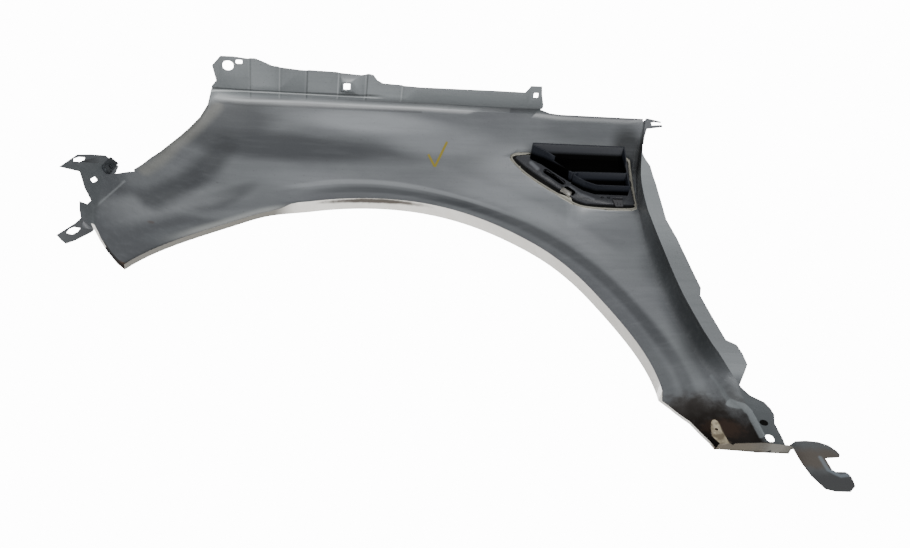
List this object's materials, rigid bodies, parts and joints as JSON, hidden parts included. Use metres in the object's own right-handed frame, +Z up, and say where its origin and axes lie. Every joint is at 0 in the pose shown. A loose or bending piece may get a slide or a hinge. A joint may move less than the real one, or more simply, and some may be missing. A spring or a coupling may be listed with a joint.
{
  "type": "car fender",
  "caption": "Stamped steel front fender with wheel arch lip, hood-side flange, mounting brackets and a black plastic side vent insert.",
  "frame": {"origin": "on the underside of the hood-side flange, on its front contact pad, 22 mm behind the large front hole", "axes": "+X towards the rear of the car (the door side), +Y outboard, +Z up, with the hood-side flange horizontal"},
  "size_m": [1.063, 0.173, 0.8244],
  "materials": {
    "fender_panel": "satin grey primer on the inner side, white paint on the outer side",
    "bracket_clip_nut": "dark phosphated steel",
    "foot_plug": "matt black rubber",
    "vent_bezel": "gloss black moulding",
    "vent_duct": "satin black moulding",
    "vent_spring_clip": "bright spring steel",
    "vent_lower_clip": "dark satin clip plastic",
    "vent_side_clip": "black clip plastic"
  },
  "bodies": {
    "root": {"fender_panel": "fender_panel", "bracket_clip_nut": "bracket_clip_nut", "foot_plug": "foot_plug", "vent_bezel": "vent_bezel", "vent_duct": "vent_duct", "vent_spring_clip": "vent_spring_clip", "vent_lower_clip": "vent_lower_clip", "vent_side_clip": "vent_side_clip"}
  },
  "joints": []
}
